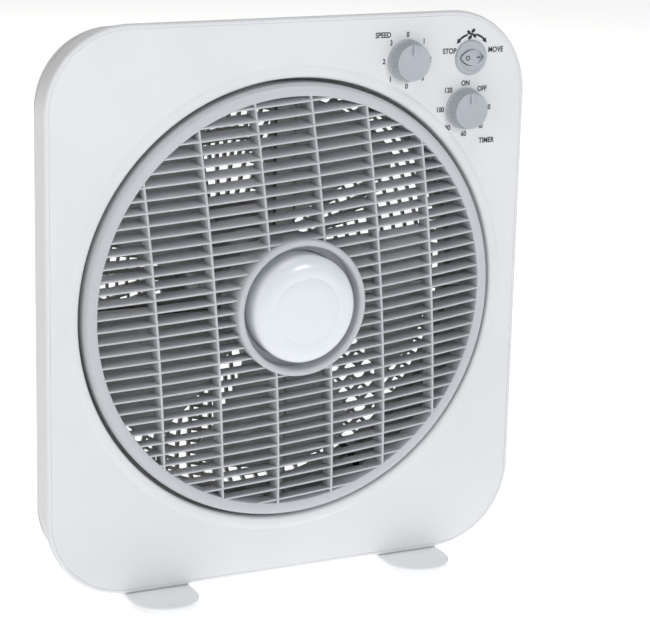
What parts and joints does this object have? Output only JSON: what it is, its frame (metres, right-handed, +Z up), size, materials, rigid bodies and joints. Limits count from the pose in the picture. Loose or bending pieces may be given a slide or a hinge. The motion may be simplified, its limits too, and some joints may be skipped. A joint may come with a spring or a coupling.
{
  "type": "box fan",
  "caption": "Square-bodied fan on swivelling feet: a slatted louvre wheel turns in front of the blades, with a domed rear grille, rotary speed and timer dials and a rocker switch.",
  "frame": {"origin": "on the floor under the middle of the bounding box", "axes": "+Z up, the louvre faces -Y and the controls are on the +X side; the fan and louvre turn about an axis along Y at a height of 0.209 m"},
  "size_m": [0.3646, 0.166, 0.41],
  "materials": {
    "body": "fine satin white moulding",
    "grille": "satin white moulding",
    "louvre": "satin blue-grey moulding",
    "cap": "soft gloss white",
    "knob": "satin light grey",
    "blades": "smoky, slightly see-through grey",
    "support": "moulded grey",
    "black_plastic": "moulded black",
    "terminals": "moulded off-white",
    "casting": "as cast",
    "laminations": "stacked sheet steel",
    "copper": "enamelled copper wire",
    "steel": "bright plated",
    "lead": "black sheath",
    "pad": "soft non-slip"
  },
  "bodies": {
    "housing": {"front_cover": "body", "rear_cover": "body", "rear_grille": "grille", "louvre_support": "support", "louvre_motor": "casting", "louvre_lead": "lead", "motor_front_shield": "casting", "motor_rear_shield": "casting", "motor_stator": "laminations", "front_coil": "copper", "rear_coil": "copper", "front_bearing": "steel", "rear_bearing": "steel", "motor_lead": "lead", "run_capacitor": "black_plastic", "terminal_block": "terminals", "cord_gland": "lead", "speed_switch": "black_plastic", "timer_unit": "casting", "rocker_bezel": "knob", "foot_pivot_left": "steel", "foot_pivot_right": "steel", "cover_screw_1": "steel", "cover_screw_2": "steel", "cover_screw_3": "steel", "cover_screw_4": "steel", "support_screw_1": "steel", "support_screw_2": "steel", "support_screw_3": "steel", "support_screw_4": "steel", "grille_screw_1": "steel", "grille_screw_2": "steel", "grille_screw_3": "steel", "grille_screw_4": "steel", "motor_screw_1": "steel", "motor_screw_2": "steel", "motor_screw_3": "steel"},
    "louvre": {"louvre_wheel": "louvre", "centre_cap": "cap", "louvre_shaft": "steel"},
    "fan": {"impeller": "blades", "blade_nut": "black_plastic", "motor_shaft": "steel", "motor_rotor": "laminations"},
    "speed_dial": {"speed_knob": "knob", "speed_spindle": "steel"},
    "timer_dial": {"timer_knob": "knob", "timer_spindle": "steel"},
    "rocker": {"rocker_button": "knob"},
    "left_foot": {"foot_left": "body", "pad_left_front": "pad", "pad_left_rear": "pad"},
    "right_foot": {"foot_right": "body", "pad_right_front": "pad", "pad_right_rear": "pad"}
  },
  "joints": [
    {"name": "louvre_spin", "type": "hinge", "parent": "housing", "child": "louvre", "pos_m": [0, -0.047, 0.209], "axis": [0, 1, 0], "continuous": true},
    {"name": "fan_spin", "type": "hinge", "parent": "housing", "child": "fan", "pos_m": [0, -0.047, 0.209], "axis": [0, 1, 0], "continuous": true},
    {"name": "speed_turn", "type": "hinge", "parent": "housing", "child": "speed_dial", "pos_m": [0.086, -0.047, 0.3762], "axis": [0, 1, 0], "continuous": true},
    {"name": "timer_turn", "type": "hinge", "parent": "housing", "child": "timer_dial", "pos_m": [0.1336, -0.047, 0.3396], "axis": [0, 1, 0], "range_deg": [0, 315]},
    {"name": "rocker_tilt", "type": "hinge", "parent": "housing", "child": "rocker", "pos_m": [0.137, -0.044, 0.3763], "axis": [0, 0, -1], "range_deg": [0, 20]},
    {"name": "left_foot_swivel", "type": "hinge", "parent": "housing", "child": "left_foot", "pos_m": [-0.1, 0.003, 0.005], "axis": [0, 0, 1], "range_deg": [0, 90]},
    {"name": "right_foot_swivel", "type": "hinge", "parent": "housing", "child": "right_foot", "pos_m": [0.1, 0.003, 0.005], "axis": [0, 0, -1], "range_deg": [0, 90]}
  ]
}
